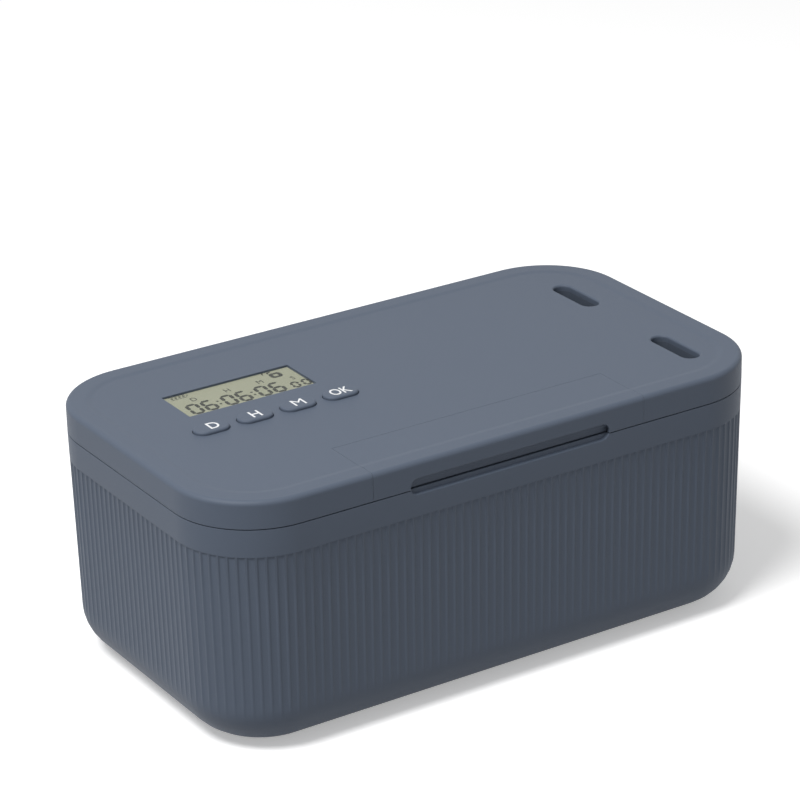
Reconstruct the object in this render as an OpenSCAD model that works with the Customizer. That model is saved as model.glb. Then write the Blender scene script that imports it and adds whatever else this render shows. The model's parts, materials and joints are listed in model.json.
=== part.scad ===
// Timed lock container: a fluted tub with a hinged lid. The lid carries a countdown clock and a
// motor that slides a latch bar under two keepers inside the tub's front wall.
// Millimetres. X runs from the left to the right, Y from the front to the back, Z upwards from
// the table. The origin is the middle of the footprint, hinge barrels included.

/* [Outer size] */
// Length from side to side at the seam
box_l = 240; // [232:1:260]
// Depth from front to back at the seam
box_w = 136.7; // [134:0.1:150]
// Height from the table to the rim of the lid
box_h = 100.7; // [99:0.1:110]
// Height of the seam between the tub and the lid
seam_z = 90; // [88:0.5:94]
// Height that the feet hold the tub off the table
foot_drop = 0.8; // [0.4:0.1:1.5]

/* [Outline] */
// Radius of the four corners, seen from above
corner_r = 32; // [30:0.5:34]

/* [Tub] */
// Wall thickness of the mouldings
wall = 2.6; // [2.2:0.1:3]
// Draft of the tub's wall from the vertical, in degrees
draft = 1; // [0.5:0.1:1.2]
// Radius between the wall and the bottom
bottom_r = 18; // [14:0.5:20]
// Height of the plain band under the seam
band_h = 10.7; // [8:0.1:14]
// Spacing of the flutes round the wall
flute_pitch = 3.52; // [3.2:0.02:5]
// Width of one flute at the wall's face
flute_w = 2.3; // [1.6:0.1:2.6]
// Depth of a flute under the band
flute_depth = 0.55; // [0.3:0.05:0.7]
// Depth left where the flutes reach the bottom rounding
flute_end_depth = 0.2; // [0.1:0.05:0.3]

/* [Lid] */
// Gap at the seam
seam_gap = 0.4; // [0.3:0.05:0.6]
// Radius of the lid's top edge
lid_edge_r = 1.8; // [1:0.1:2.2]
// Width of the rim round the recessed field
rim_w = 8.5; // [6:0.5:10]
// Depth of the recessed field below the rim
field_drop = 0.3; // [0.2:0.05:0.4]
// Width of the panel over the lock
panel_w = 117; // [110:1:120]
// How far the panel over the lock reaches back from the front
panel_d = 27.3; // [26:0.1:28]
// Width of the finger groove in the seam
grip_w = 86; // [60:1:100]
// Height of the finger groove
grip_h = 6.4; // [5:0.1:8]
// Depth of the finger groove
grip_depth = 1.5; // [1:0.1:1.6]

/* [Clock and buttons] */
// Left edge of the display opening, from the middle of the box
display_x = -85.7; // [-86:0.1:-84]
// Front edge of the display opening
display_y = 11.7; // [11:0.1:13]
// Width of the display opening
display_w = 53.9; // [50:0.1:54]
// Depth of the display opening from front to back
display_d = 22.3; // [20:0.1:23]
// Middle of the first button, from the middle of the box to the right
button_x = -84.9; // [-86:0.1:-84]
// Middle of the row of buttons, from the middle of the box to the back
button_y = -1.5; // [-2:0.1:0]
// Spacing of the four buttons
button_pitch = 18.2; // [18:0.1:19]
// Length and width of a button
button_l = 14.2; // [12:0.1:15]
button_w = 8; // [7:0.1:8.5]
// Height of a button above the recessed field
button_rise = 1.2; // [0.8:0.1:1.4]
// Travel of a button
button_travel = 0.5; // [0.2:0.05:0.6]

/* [Cable slots] */
// Middle of both slots, from the middle of the box to the right
slot_x = 96.6; // [96:0.1:97]
// Middle of the slot at the back
slot_back_y = 27.9; // [27:0.1:29]
// Middle of the slot at the front
slot_front_y = -36.5; // [-37:0.1:-36]
// Width of a slot
slot_w = 7.4; // [6.5:0.1:7.6]
// Length of a slot
slot_l = 25.4; // [24:0.1:25.6]
// Radius of its soft rim
slot_rim = 0.9; // [0.5:0.1:1]

/* [Lock] */
// Distance of each keeper from the middle of the box
keeper_x = 30; // [28:0.5:32]
// Travel of the latch bar from open to locked
latch_travel = 7; // [6.5:0.1:7]
// Teeth of the pinion
pinion_teeth = 10; // [9:1:12]
// Module of the pinion and the rack
gear_module = 0.8; // [0.7:0.05:0.85]

/* [Hidden] */
$fn = 96;
eps = 0.01;

SLATE = [0.37, 0.39, 0.45];
DARK = [0.16, 0.17, 0.2];
STEEL = [0.72, 0.73, 0.75];
BRASS = [0.75, 0.6, 0.3];
BOARD = [0.1, 0.35, 0.2];
NYLON = [0.9, 0.9, 0.86];

// Hinge: the axis lies just behind the back face, at the height of the seam
hinge_offset = 0.8;
knuckle_r = 2.8;
pin_r = 1.25;
running = 0.05;
hinge_xs = [-60, 60];
knuckle_gap = 0.3;
lid_knuckle = 10;
tub_knuckle = 9.7;
hinge_len = lid_knuckle + 2 * tub_knuckle + 2 * knuckle_gap;
knuckle_step = (lid_knuckle + tub_knuckle) / 2 + knuckle_gap;
notch_r = knuckle_r + 0.35;
axis_y = box_w / 2 + hinge_offset;
overhang = hinge_offset + knuckle_r;
web_turn = 20;
web_h = 7;
web_root = hinge_offset + 1.2;

// Heights
tub_top = seam_z - seam_gap / 2;
lid_bottom = seam_z + seam_gap / 2;
field_z = box_h - field_drop;
plate_t = 2.4;
plate_z = field_z - plate_t;
tray_z = seam_z - 14;
tray_t = 1.6;
floor_z = tray_z + tray_t;
tray_inset = 5.6;
ring_depth = 28;
tongue_t = 1;
tongue_h = 2.2;
fit_gap = 0.3;
tray_front = -(box_w / 2 - tray_inset);
slot_ys = [slot_back_y, slot_front_y];
// Flat plates that close the middle of the tub's floor and of the lid, inside the swept rings
floor_plate = [box_l - 52, box_w - 53.7];
lid_plate = [box_l - 36, box_w - 38.7];

// --- Outline: straight sides and round corners. Distances run along one quarter of it, from the
// middle of the back to the middle of the right side.
long_half = box_l / 2 - corner_r;
short_half = box_w / 2 - corner_r;
corner_len = corner_r * PI / 2;
quarter_len = long_half + corner_len + short_half;

// The point at a distance along the quarter outline, and its heading: 0 faces the back, 90 the right
function spot(s) =
  s < long_half ? [[s, box_w / 2], 0]
  : s > long_half + corner_len ? [[box_l / 2, quarter_len - s], 90]
  : let (heading = (s - long_half) / corner_len * 90)
    [[long_half + corner_r * sin(heading), short_half + corner_r * cos(heading)], heading];

// Everything below is drawn about the middle of the box and moved into the frame here
module in_frame() translate([0, -overhang / 2, 0]) children();

module four_quarters() {
  for (mx = [0, 1], my = [0, 1]) mirror([mx, 0, 0]) mirror([0, my, 0]) children();
}

// Carries a wall section once round the outline. In the section x is the distance outside the
// outline, so the wall has negative x, and y is the height.
module around() {
  four_quarters() translate([long_half, short_half, 0])
    rotate_extrude(angle = 90) translate([corner_r, 0]) children();
  for (mx = [0, 1]) mirror([mx, 0, 0]) translate([box_l / 2, short_half, 0]) rotate([90, 0, 0])
    linear_extrude(2 * short_half) children();
  for (my = [0, 1]) mirror([0, my, 0]) translate([-long_half, box_w / 2, 0]) rotate([90, 0, 90])
    linear_extrude(2 * long_half) children();
}

// Carries a section round a stadium of length l and width w that lies along Y
module around_stadium(w, l) {
  for (end = [0, 180]) rotate([0, 0, end]) {
    translate([0, (l - w) / 2, 0]) rotate_extrude(angle = 180) translate([w / 2, 0]) children();
    translate([0, (l - w) / 2, 0]) rotate([90, 0, 0]) linear_extrude(l - w)
      translate([w / 2, 0]) children();
  }
}

module stadium(w, l) {
  square([w, l - w], center = true);
  for (s = [-1, 1]) translate([0, s * (l - w) / 2]) circle(w / 2);
}

// --- Tub ---
// Outer side of the tub's section, moved inwards by t and up by t at the bottom
module tub_section(t, top) {
  r = bottom_r - t;
  centre_z = foot_drop + bottom_r;
  centre_d = (bottom_r + (seam_z - centre_z) * sin(draft)) / cos(draft);
  wall_top_d = (t - (top - seam_z) * sin(draft)) / cos(draft);
  translate([-centre_d, centre_z]) circle(r);
  polygon([[-wall_top_d, top],
    [-centre_d + r * cos(draft), centre_z - r * sin(draft)],
    [-centre_d, centre_z - r],
    [-ring_depth, centre_z - r],
    [-ring_depth, top]]);
}

module tub_wall_section() {
  difference() {
    tub_section(0, tub_top);
    tub_section(wall, tub_top + 1);
    translate([-2 * ring_depth, 0]) square([ring_depth, box_h]);
  }
  translate([-wall, tub_top - 2]) square([tongue_t, tongue_h + 2]);
}

// How far each side of a flute leans outwards over its depth, and how far it runs on at the bottom
flute_slope = 0.35;
flute_runout = 5;

// One flute: a flat-bottomed channel with sloping sides, along the drafted wall. Its local Y
// points out of the wall, and it is a little steeper than the wall, so it runs out at the bottom.
module flute() {
  reach = seam_z - band_h - foot_drop - bottom_r;
  tilt = draft - atan((flute_depth - flute_end_depth) / reach);
  top_d = band_h * tan(draft) + flute_depth;
  translate([0, -top_d, seam_z - band_h]) rotate([-tilt, 0, 0]) translate([0, 0, -reach - flute_runout])
    linear_extrude(reach + flute_runout)
      polygon([[-flute_w / 2 + flute_slope, 0], [flute_w / 2 - flute_slope, 0],
        [flute_w / 2 + flute_slope, 2 * flute_depth], [-flute_w / 2 - flute_slope, 2 * flute_depth]]);
}

module flutes() {
  count = round(quarter_len / flute_pitch);
  four_quarters() for (i = [0 : count - 1]) {
    place = spot((i + 0.5) * quarter_len / count);
    translate([place[0].x, place[0].y, 0]) rotate([0, 0, -place[1]]) flute();
  }
}

// A knuckle of the hinge: a barrel with a web to the wall. side is -1 below the seam, 1 above it.
module knuckle(length, side, bore_r) {
  rotate([90, 0, 90]) linear_extrude(length, center = true) difference() {
    union() {
      circle(knuckle_r);
      polygon([[knuckle_r * cos(web_turn), side * knuckle_r * sin(web_turn)],
        [-hinge_offset + 0.1, side * web_h], [-web_root, side * web_h], [-web_root, side * 0.5], [0, 0]]);
    }
    circle(bore_r);
  }
}

module at_hinges() for (x = hinge_xs) translate([x, axis_y, seam_z]) children();
module along_x(r, length) rotate([0, 90, 0]) cylinder(r = r, h = length, center = true);

FEET = [[-80, -30], [80, -30], [-80, 30], [80, 30]];
foot_r = 6;
foot_recess = 0.8;
keeper_w = 12;
keeper_t = 1.1;
keeper_bottom = 75;
lip_w = 8;
lip_t = 1.5;
lip_z = 82;
lip_tip = -57.7;
pad_face = -65;
keeper_screw_dx = 3.6;
keeper_screw_z = 78;
small_screw_r = 0.9;
small_hole_r = 0.95;
sink_r = 1.85;
sink_h = 0.9;
sink_gap = 0.05;
// Height of the middle of the finger groove above the seam
grip_rise = 1;
// Room round the lid's panel where it closes on the tub
panel_room = 1;

module grip_cut() {
  translate([0, -box_w / 2 + grip_depth, seam_z + grip_rise]) rotate([90, 0, 0])
    linear_extrude(10) rotate(90) stadium(grip_h, grip_w);
}

module tub_shell() in_frame() color(SLATE) {
  difference() {
    union() {
      around() tub_wall_section();
      translate([0, 0, foot_drop]) linear_extrude(wall) square(floor_plate, center = true);
      at_hinges() for (s = [-1, 1]) translate([s * knuckle_step, 0, 0])
        knuckle(tub_knuckle, -1, pin_r);
      // Pads that the keepers are screwed to
      for (x = [-keeper_x, keeper_x])
        translate([x - keeper_w / 2 - 1, -box_w / 2 + wall / 2, keeper_bottom - 1])
          cube([keeper_w + 2, pad_face + box_w / 2 - wall / 2, lip_z + lip_t - keeper_bottom + 1]);
    }
    flutes();
    // Room for the lid's knuckles, and for the lid's panel over the lock
    at_hinges() along_x(notch_r, lid_knuckle + 2 * knuckle_gap);
    at_hinges() along_x(pin_r, hinge_len);
    translate([-panel_w / 2 - panel_room, -box_w / 2 - 1, tub_top])
      cube([panel_w + 2 * panel_room, tray_inset + 0.4, 10]);
    grip_cut();
    for (p = FEET) translate([p.x, p.y, 0]) cylinder(r = foot_r, h = foot_drop + foot_recess);
    for (x = [-keeper_x, keeper_x], dx = [-keeper_screw_dx, keeper_screw_dx])
      translate([x + dx, pad_face + eps, keeper_screw_z]) rotate([90, 0, 0])
        cylinder(r = small_screw_r, h = 2.4);
  }
}

module foot_pads() in_frame() color(DARK) for (p = FEET) translate([p.x, p.y, 0]) {
  cylinder(r1 = foot_r - foot_drop, r2 = foot_r, h = foot_drop);
  translate([0, 0, foot_drop]) cylinder(r = foot_r, h = foot_recess);
}

module hinge_pins() in_frame() color(STEEL) at_hinges() along_x(pin_r, hinge_len - 0.4);

module latch_keepers() in_frame() color(STEEL) for (x = [-keeper_x, keeper_x]) translate([x, 0, 0])
  difference() {
    union() {
      translate([-keeper_w / 2, pad_face, keeper_bottom])
        cube([keeper_w, keeper_t, lip_z + lip_t - keeper_bottom]);
      translate([-lip_w / 2, pad_face, lip_z]) cube([lip_w, lip_tip - pad_face, lip_t]);
    }
    for (dx = [-keeper_screw_dx, keeper_screw_dx]) translate([dx, pad_face, keeper_screw_z])
      rotate([-90, 0, 0]) {
        translate([0, 0, -1]) cylinder(r = small_hole_r, h = 3);
        translate([0, 0, keeper_t - sink_h]) cylinder(r1 = small_hole_r, r2 = sink_r, h = sink_h);
      }
  }

module keeper_screws() in_frame() color(STEEL)
  for (x = [-keeper_x, keeper_x], dx = [-keeper_screw_dx, keeper_screw_dx])
    translate([x + dx, pad_face, keeper_screw_z]) rotate([-90, 0, 0]) {
      translate([0, 0, -2]) cylinder(r = small_screw_r, h = 2.3);
      translate([0, 0, keeper_t - sink_h + sink_gap])
        cylinder(r1 = small_screw_r, r2 = sink_r - 0.15, h = sink_h - 2 * sink_gap);
    }

// --- Lid ---
// The rim runs down into the recessed field along half a cosine wave, so no edge shows
crease_w = 3.2;
crease_steps = 8;
CREASE = [for (i = [0 : crease_steps]) let (t = i / crease_steps)
  [-rim_w + (0.5 - t) * crease_w, box_h - field_drop * (1 - cos(180 * t)) / 2]];

module lid_wall_section() {
  top_c = box_h - lid_edge_r;
  difference() {
    union() {
      translate([-lid_edge_r, top_c]) circle(lid_edge_r);
      polygon(concat([[0, lid_bottom], [0, top_c], [-lid_edge_r, box_h]], CREASE,
        [[-ring_depth, field_z], [-ring_depth, lid_bottom]]));
    }
    polygon([[-wall, lid_bottom - 1], [-wall, plate_z], [-ring_depth - 1, plate_z],
      [-ring_depth - 1, lid_bottom - 1]]);
    translate([-wall - 1, lid_bottom - 1])
      square([tongue_t + fit_gap + 1, 1 + tub_top + tongue_h + fit_gap - lid_bottom]);
  }
}

module panel_zone(gap) {
  translate([-panel_w / 2 - gap, -box_w / 2 - 1, lid_bottom - 1])
    cube([panel_w + 2 * gap, panel_d + 1 + gap, 30]);
}

TRAY_SCREWS = [[-102, 48], [-45, 57], [45, 57], [100, 50],
  [105, -4], [78, -57], [-78, -57], [-104, -20]];
BOARD_SCREWS = [[-89, 43], [-27, 43], [-89, -12.5], [-27, -12.5]];
PANEL_SCREWS = [[-56.5, -46], [56.5, -46], [-20, -43.2], [20, -43.2]];
board_z = 90;
board_t = 1.6;
boss_z = floor_z + 2;
panel_back = -box_w / 2 + panel_d;
ledge_t = 1.6;
ledge_w = 4;
ledge_lap = 1;
ledge_front = tray_front + tray_t + 0.15;
boss_r = 3.2;
board_boss_r = 2.2;
tray_screw_r = 1.2;
board_screw_r = 0.8;
panel_screw_r = 0.85;
BUTTON_XS = [for (i = [0 : 3]) button_x + i * button_pitch];
button_gap = 0.2;
window_t = 1;
window_lip = 1.5;
panel_gap = 0.06;
grip_backing = 0.8;
grip_margin = 3;
display_mid = [display_x + display_w / 2, display_y + display_d / 2];

// Removes a slot with a soft upper rim
module slot_cut() {
  translate([0, 0, plate_z - 1]) linear_extrude(20) stadium(slot_w, slot_l);
  around_stadium(slot_w, slot_l) difference() {
    translate([-0.5, field_z - slot_rim + 0.03]) square([slot_rim + 0.5, slot_rim + 1]);
    translate([slot_rim, field_z - slot_rim + 0.03]) circle(slot_rim);
  }
}

module lid_form() {
  around() lid_wall_section();
  translate([0, 0, plate_z]) linear_extrude(plate_t) square(lid_plate, center = true);
}

module lid_shell() in_frame() color(SLATE) difference() {
  union() {
    difference() {
      lid_form();
      panel_zone(panel_gap);
      for (y = slot_ys) translate([slot_x, y, 0]) slot_cut();
      translate([display_mid.x, display_mid.y, plate_z - 1]) linear_extrude(10)
        square([display_w, display_d], center = true);
      translate([display_mid.x, display_mid.y, plate_z - 1]) linear_extrude(1 + window_t)
        square([display_w + 2 * window_lip, display_d + 2 * window_lip], center = true);
      for (x = BUTTON_XS) translate([x, button_y, plate_z - 1]) linear_extrude(10)
        rotate(90) stadium(button_w + 2 * button_gap, button_l + 2 * button_gap);
    }
    // Ledge that carries the panel over the lock, behind the tray's front wall
    difference() {
      translate([-panel_w / 2 - ledge_lap, ledge_front, plate_z - ledge_t])
        cube([panel_w + 2 * ledge_lap, panel_back + ledge_lap - ledge_front, ledge_t]);
      translate([-panel_w / 2 + ledge_w, ledge_front - 1, plate_z - ledge_t - 1])
        cube([panel_w - 2 * ledge_w, panel_back - ledge_w + 1 - ledge_front, ledge_t + 2]);
    }
    for (p = TRAY_SCREWS) translate([p.x, p.y, boss_z])
      cylinder(r = boss_r, h = plate_z + 1 - boss_z);
    for (p = BOARD_SCREWS) translate([p.x, p.y, board_z + board_t])
      cylinder(r = board_boss_r, h = plate_z - board_z - board_t + 1);
    at_hinges() knuckle(lid_knuckle, 1, pin_r + running);
  }
  for (p = TRAY_SCREWS) translate([p.x, p.y, floor_z]) cylinder(r = tray_screw_r, h = 12);
  for (p = BOARD_SCREWS) translate([p.x, p.y, board_z]) cylinder(r = board_screw_r, h = 6);
  for (p = PANEL_SCREWS) translate([p.x, p.y, plate_z - 3]) cylinder(r = panel_screw_r, h = 4);
  at_hinges() for (s = [-1, 1]) translate([s * knuckle_step, 0, 0])
    along_x(notch_r, tub_knuckle + 2 * knuckle_gap);
  at_hinges() along_x(pin_r + running, hinge_len);
}

module lock_panel() in_frame() color(SLATE) difference() {
  union() {
    intersection() {
      lid_form();
      panel_zone(-panel_gap);
    }
    // The front is thicker behind the finger groove
    translate([-grip_w / 2 - grip_margin, -box_w / 2 + wall - 0.5, lid_bottom])
      cube([grip_w + 2 * grip_margin, grip_backing + 0.5, plate_z - lid_bottom + 1]);
  }
  grip_cut();
  for (p = PANEL_SCREWS) translate([p.x, p.y, plate_z - 1]) cylinder(r = panel_screw_r, h = 2.6);
}

module panel_screws() in_frame() color(STEEL) for (p = PANEL_SCREWS)
  translate([p.x, p.y, plate_z - ledge_t]) {
    translate([0, 0, -1]) cylinder(r = 1.6, h = 1);
    cylinder(r = panel_screw_r, h = 3);
  }

module display_window() in_frame() color([0.9, 0.95, 1, 0.3])
  translate([display_mid.x, display_mid.y, plate_z]) linear_extrude(window_t)
    square([display_w + 2 * window_lip - 0.2, display_d + 2 * window_lip - 0.2], center = true);

cell_z = 94.6;
cell_top = plate_z - 0.2;
cell_w = display_w + 3;
cell_d = display_d + 3;
glass_t = 1.3;
// The lower glass is wider by this much, and its contacts lie there
contact_ledge = 1.6;
module display_cell() in_frame() color([0.72, 0.72, 0.61])
  translate([display_mid.x, display_mid.y, cell_z]) {
    // Lower glass, upper glass and its polariser
    linear_extrude(glass_t) square([cell_w, cell_d], center = true);
    translate([0, contact_ledge / 2, glass_t]) linear_extrude(glass_t)
      square([cell_w, cell_d - contact_ledge], center = true);
    translate([0, contact_ledge / 2, 2 * glass_t]) linear_extrude(cell_top - cell_z - 2 * glass_t)
      square([cell_w - 1, cell_d - contact_ledge - 1], center = true);
  }

holder_wall = 1.4;
holder_lap = 1.5;
module display_holder() in_frame() color(DARK)
  translate([display_mid.x, display_mid.y, board_z + board_t]) difference() {
    linear_extrude(plate_z - board_z - board_t)
      square([cell_w + 2 * holder_wall, cell_d + 2 * holder_wall], center = true);
    translate([0, 0, cell_z - board_z - board_t]) linear_extrude(10)
      square([cell_w + 0.2, cell_d + 0.2], center = true);
    translate([0, 0, -1]) linear_extrude(10)
      square([cell_w - 2 * holder_lap, cell_d - 2 * holder_lap], center = true);
  }

connector = [50, 2];
module display_connector() in_frame() color([0.5, 0.5, 0.55])
  translate([display_mid.x - connector.x / 2, display_mid.y - cell_d / 2 + 1.8, board_z + board_t])
    cube([connector.x, connector.y, cell_z - board_z - board_t]);

board_min = [-93, -16];
board_size = [70, 62.5];
module control_board() in_frame() color(BOARD) difference() {
  translate([board_min.x, board_min.y, board_z]) cube([board_size.x, board_size.y, board_t]);
  for (p = BOARD_SCREWS) translate([p.x, p.y, board_z - 1]) cylinder(r = board_screw_r + 0.2, h = 4);
}

// A pan-head screw that points upwards: its head's underside is at z = 0
cross_w = 0.5;
cross_depth = 0.6;
module screw(shank_r, length, head_r, head_h) {
  cylinder(r = shank_r, h = length);
  translate([0, 0, -head_h]) difference() {
    cylinder(r1 = head_r - 0.3, r2 = head_r, h = head_h);
    for (turn = [0, 90]) rotate([0, 0, turn])
      translate([-head_r * 0.55, -cross_w / 2, -1]) cube([head_r * 1.1, cross_w, 1 + cross_depth]);
  }
}

module board_screws() in_frame() color(STEEL) for (p = BOARD_SCREWS)
  translate([p.x, p.y, board_z]) screw(board_screw_r, length = 5.5, head_r = 1.8, head_h = 1.2);

switch_w = 6;
switch_h = 3.5;
plunger_r = 1.75;
plunger_rise = button_travel + 0.3;
module switch_bases() in_frame() color(DARK) for (x = BUTTON_XS)
  translate([x, button_y, board_z + board_t]) difference() {
    translate([-switch_w / 2, -switch_w / 2, 0]) cube([switch_w, switch_w, switch_h]);
    translate([0, 0, switch_h - 1.5]) cylinder(r = plunger_r + 0.1, h = 2);
  }

// A drop of black resin covers the chip
resin_at = [-60, 22];
resin_edge = 0.6;
resin_dome = 0.8;
module processor() in_frame() color(DARK) translate([resin_at.x, resin_at.y, board_z - resin_edge]) {
  cylinder(r = 6, h = resin_edge);
  translate([0, 0, -resin_dome]) cylinder(r1 = 3.5, r2 = 5.5, h = resin_dome);
}

buzzer_at = [-80, 24];
buzzer_r = 5.5;
buzzer_h = 6;
module buzzer() in_frame() color(DARK) translate([buzzer_at.x, buzzer_at.y, board_z - buzzer_h])
  difference() {
    cylinder(r = buzzer_r, h = buzzer_h);
    translate([0, 0, -1]) cylinder(r = 1, h = 3);
  }

// --- Buttons: a cap with a soft edge, a flange under the lid's plate, and a stem ---
button_top = field_z + button_rise;
button_soft = 0.8;
flange_t = 1;
flange_w = 1.1;
flange_top = plate_z - 0.2;
stem_r = 1.6;
stem_end = board_z + board_t + switch_h + plunger_rise;
module button(i) in_frame() translate([BUTTON_XS[i], button_y, 0]) {
  rotate([0, 0, 90]) around_stadium(button_w, button_l) {
    translate([-button_soft, flange_top]) square([button_soft, button_top - button_soft - flange_top]);
    translate([-button_soft, button_top - button_soft]) intersection() {
      circle(button_soft);
      square(button_soft);
    }
  }
  translate([0, 0, flange_top]) linear_extrude(button_top - flange_top) rotate(90)
    stadium(button_w - 2 * button_soft, button_l - 2 * button_soft);
  translate([0, 0, flange_top - flange_t]) linear_extrude(flange_t) rotate(90)
    stadium(button_w + 2 * flange_w, button_l + 2 * flange_w);
  translate([0, 0, stem_end]) cylinder(r = stem_r, h = flange_top - stem_end - 0.3);
}

module plunger(i) in_frame() translate([BUTTON_XS[i], button_y, stem_end - 1.5])
  cylinder(r = plunger_r, h = 1.5);
module button_d() color(SLATE) button(0);
module button_h() color(SLATE) button(1);
module button_m() color(SLATE) button(2);
module button_ok() color(SLATE) button(3);
module plunger_d() color(DARK) plunger(0);
module plunger_h() color(DARK) plunger(1);
module plunger_m() color(DARK) plunger(2);
module plunger_ok() color(DARK) plunger(3);

// --- Lock: gearmotor, pinion and rack ---
bar_z = 78;
bar_t = 3.6;
bar_front = -57;
bar_d = 5.5;
bar_x0 = -46;
bar_x1 = 45;
hook_tip = -60.8;
hook_clear = 1;
hook_w = latch_travel - hook_clear;
pitch_r = gear_module * pinion_teeth / 2;
tooth_pitch = PI * gear_module;
pressure = 25;
backlash = 0.12;
dedendum = 1.2 * gear_module;
pitch_z = bar_z + bar_t + dedendum;
shaft_z = pitch_z + pitch_r;
shaft_r = 1.5;
gearbox_front = -49.5;
gearbox_d = 9;
can_d = 15;
motor_w = 12;
motor_h = 10;
pinion_y0 = bar_front + 0.2;
pinion_w = 5;

// Involute flank: the point where the string unwound from the base circle has length base_r * t
base_r = pitch_r * cos(pressure);
function involute(t) = let (a = t * 180 / PI)
  base_r * [cos(a) + t * sin(a), sin(a) - t * cos(a)];
function unwind(r) = sqrt(max(0, pow(r / base_r, 2) - 1));
function polar(r, a) = r * [cos(a), sin(a)];
function angle_of(p) = atan2(p.y, p.x);
// Half the angle that a tooth takes at the pitch circle, and how far the involute turns there
tooth_half = 90 / pinion_teeth - backlash / 2 / pitch_r * 180 / PI;
pitch_turn = angle_of(involute(unwind(pitch_r)));
tip_r = pitch_r + gear_module;
root_r = pitch_r - dedendum;
flank_steps = 6;
FLANK = [for (i = [0 : flank_steps]) involute(unwind(base_r + (tip_r - base_r) * i / flank_steps))];

module pinion_profile() {
  circle(root_r);
  for (k = [0 : pinion_teeth - 1]) rotate(k * 360 / pinion_teeth) {
    up = [for (p = FLANK) polar(norm(p), angle_of(p) - pitch_turn - tooth_half)];
    down = [for (i = [flank_steps : -1 : 0]) [up[i].x, -up[i].y]];
    polygon(concat([[root_r * 0.7, up[0].y]], up, down, [[root_r * 0.7, -up[0].y]]));
  }
}

module motor_shaft() in_frame() color(STEEL)
  translate([0, gearbox_front + 2, shaft_z]) rotate([90, 0, 0])
    cylinder(r = shaft_r, h = gearbox_front + 2 - pinion_y0);

module lock_pinion() in_frame() color(BRASS)
  translate([0, pinion_y0 + pinion_w, shaft_z]) rotate([90, 0, 0]) linear_extrude(pinion_w)
    difference() {
      rotate(-90) pinion_profile();
      circle(shaft_r);
    }

// Rack teeth stand between the gaps that the pinion's teeth enter; one gap is under the shaft
module rack() {
  half_top = tooth_pitch / 4 - gear_module * tan(pressure) - backlash / 2;
  half_root = tooth_pitch / 4 + dedendum * tan(pressure) - backlash / 2;
  for (k = [-4 : 2]) translate([(k + 0.5) * tooth_pitch, bar_front + bar_d, pitch_z])
    rotate([90, 0, 0]) linear_extrude(bar_d)
      polygon([[-half_root, -dedendum - 0.2], [-half_root, -dedendum], [-half_top, gear_module],
        [half_top, gear_module], [half_root, -dedendum], [half_root, -dedendum - 0.2]]);
}

module latch_bar() in_frame() color(STEEL) {
  translate([bar_x0, bar_front, bar_z]) cube([bar_x1 - bar_x0, bar_d, bar_t]);
  for (x = [-keeper_x, keeper_x])
    translate([x - lip_w / 2 - hook_clear - hook_w, hook_tip, bar_z])
      cube([hook_w, bar_front - hook_tip + 1, bar_t]);
  rack();
}

GUIDE_XS = [-24, 36];
guide_w = 7;
guide_front = -59;
guide_back = -46.5;
guide_top = 83.6;
guide_screw_y = -48.3;
guide_foot_t = 2;
module latch_guides() in_frame() color(NYLON) for (x = GUIDE_XS) translate([x, 0, 0]) difference() {
  union() {
    translate([0, guide_front, floor_z]) cube([guide_w, -50 - guide_front, guide_top - floor_z]);
    translate([0, -51, floor_z]) cube([guide_w, guide_back + 51, guide_foot_t]);
  }
  translate([-1, bar_front - 0.25, floor_z - 1])
    cube([guide_w + 2, bar_d + 0.5, bar_z + bar_t + 0.3 - floor_z + 1]);
  translate([guide_w / 2, guide_screw_y, floor_z - 1]) cylinder(r = 1.1, h = 5);
}

// A pan-head screw that points downwards
module screw_down(shank_r, length, head_r, head_h)
  mirror([0, 0, 1]) screw(shank_r, length, head_r, head_h);

module guide_screws() in_frame() color(STEEL) for (x = GUIDE_XS)
  translate([x + guide_w / 2, guide_screw_y, floor_z + guide_foot_t])
    screw_down(small_screw_r, length = 3.2, head_r = 1.7, head_h = 1.2);

module motor_gearbox() in_frame() color(BRASS) difference() {
  translate([-motor_w / 2, gearbox_front, shaft_z - motor_h / 2]) cube([motor_w, gearbox_d, motor_h]);
  translate([0, gearbox_front + 2.1, shaft_z]) rotate([90, 0, 0]) cylinder(r = shaft_r + running, h = 5);
}

module motor_can() in_frame() color(STEEL) {
  translate([0, gearbox_front + gearbox_d + can_d, shaft_z]) rotate([90, 0, 0]) linear_extrude(can_d)
    intersection() {
      circle(motor_w / 2);
      square([motor_w + 1, motor_h], center = true);
    }
  translate([0, gearbox_front + gearbox_d + can_d + 1, shaft_z]) rotate([90, 0, 0])
    cylinder(r = 2.5, h = 1);
}

clamp_foot = 5;
clamp_t = 1.4;
clamp_y0 = -48;
clamp_d = 6;
clamp_foot_z = floor_z + 2;
clamp_screw_x = motor_w / 2 + 0.2 + clamp_t + clamp_foot / 2;
module motor_clamp() in_frame() color(STEEL) {
  leg_x = motor_w / 2 + 0.2;
  top = shaft_z + motor_h / 2;
  difference() {
    translate([0, clamp_y0 + clamp_d, 0]) rotate([90, 0, 0]) linear_extrude(clamp_d) difference() {
      union() {
        translate([-leg_x - clamp_t, clamp_foot_z])
          square([2 * (leg_x + clamp_t), top + clamp_t - clamp_foot_z]);
        translate([-leg_x - clamp_t - clamp_foot, clamp_foot_z])
          square([2 * (leg_x + clamp_t + clamp_foot), clamp_t]);
      }
      translate([-leg_x, clamp_foot_z - 1]) square([2 * leg_x, top - clamp_foot_z + 1]);
    }
    for (s = [-1, 1]) translate([s * clamp_screw_x, clamp_y0 + clamp_d / 2, clamp_foot_z - 1])
      cylinder(r = 1.1, h = 5);
  }
}

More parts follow.
